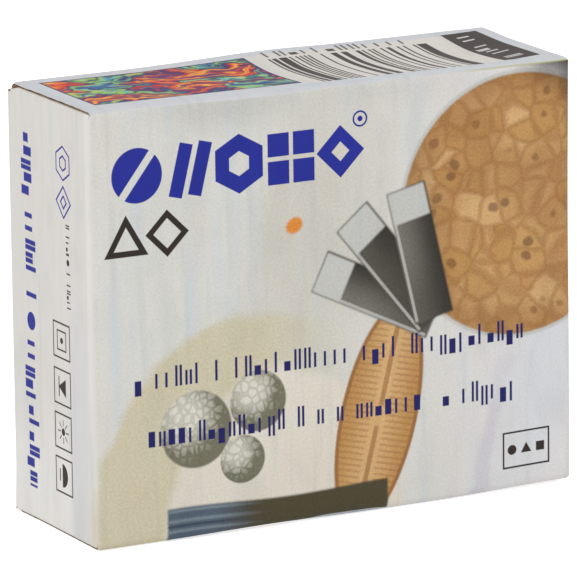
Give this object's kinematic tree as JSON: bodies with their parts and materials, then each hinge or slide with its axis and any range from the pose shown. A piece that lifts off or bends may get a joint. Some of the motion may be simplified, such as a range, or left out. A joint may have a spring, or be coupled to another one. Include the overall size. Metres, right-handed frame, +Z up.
{
  "type": "box of microscope slides",
  "caption": "Small upright box of thin fluted board with a lid that turns on its front fold and tucks in at the back, holding a stack of plain glass microscope slides.",
  "frame": {"origin": "centre of the box's base, on the surface it stands on", "axes": "+Z up, -Y is the wide printed front that the lid is hinged to, -X is the left end panel"},
  "size_m": [0.084, 0.0306, 0.069],
  "materials": {
    "printed_board": "white-lined fluted board, printed, satin",
    "slide_glass": "clear, with ground and cut edges"
  },
  "bodies": {
    "carton": {"carton": "printed_board", "slide_01": "slide_glass", "slide_02": "slide_glass", "slide_03": "slide_glass", "slide_04": "slide_glass", "slide_05": "slide_glass", "slide_06": "slide_glass", "slide_07": "slide_glass", "slide_08": "slide_glass", "slide_09": "slide_glass", "slide_10": "slide_glass", "slide_11": "slide_glass", "slide_12": "slide_glass", "slide_13": "slide_glass", "slide_14": "slide_glass", "slide_15": "slide_glass", "slide_16": "slide_glass", "slide_17": "slide_glass", "slide_18": "slide_glass", "slide_19": "slide_glass", "slide_20": "slide_glass", "slide_21": "slide_glass", "slide_22": "slide_glass", "slide_23": "slide_glass", "slide_24": "slide_glass", "slide_25": "slide_glass", "slide_26": "slide_glass", "slide_27": "slide_glass", "slide_28": "slide_glass", "slide_29": "slide_glass", "slide_30": "slide_glass", "slide_31": "slide_glass", "slide_32": "slide_glass", "slide_33": "slide_glass", "slide_34": "slide_glass", "slide_35": "slide_glass", "slide_36": "slide_glass", "slide_37": "slide_glass", "slide_38": "slide_glass", "slide_39": "slide_glass", "slide_40": "slide_glass", "slide_41": "slide_glass", "slide_42": "slide_glass", "slide_43": "slide_glass", "slide_44": "slide_glass", "slide_45": "slide_glass", "slide_46": "slide_glass", "slide_47": "slide_glass", "slide_48": "slide_glass", "slide_49": "slide_glass", "slide_50": "slide_glass"},
    "lid": {"lid": "printed_board"}
  },
  "joints": [
    {"name": "lid_hinge", "type": "hinge", "parent": "carton", "child": "lid", "pos_m": [0, -0.01481, 0.06856], "axis": [1, 0, 0], "range_deg": [0, 150]}
  ]
}
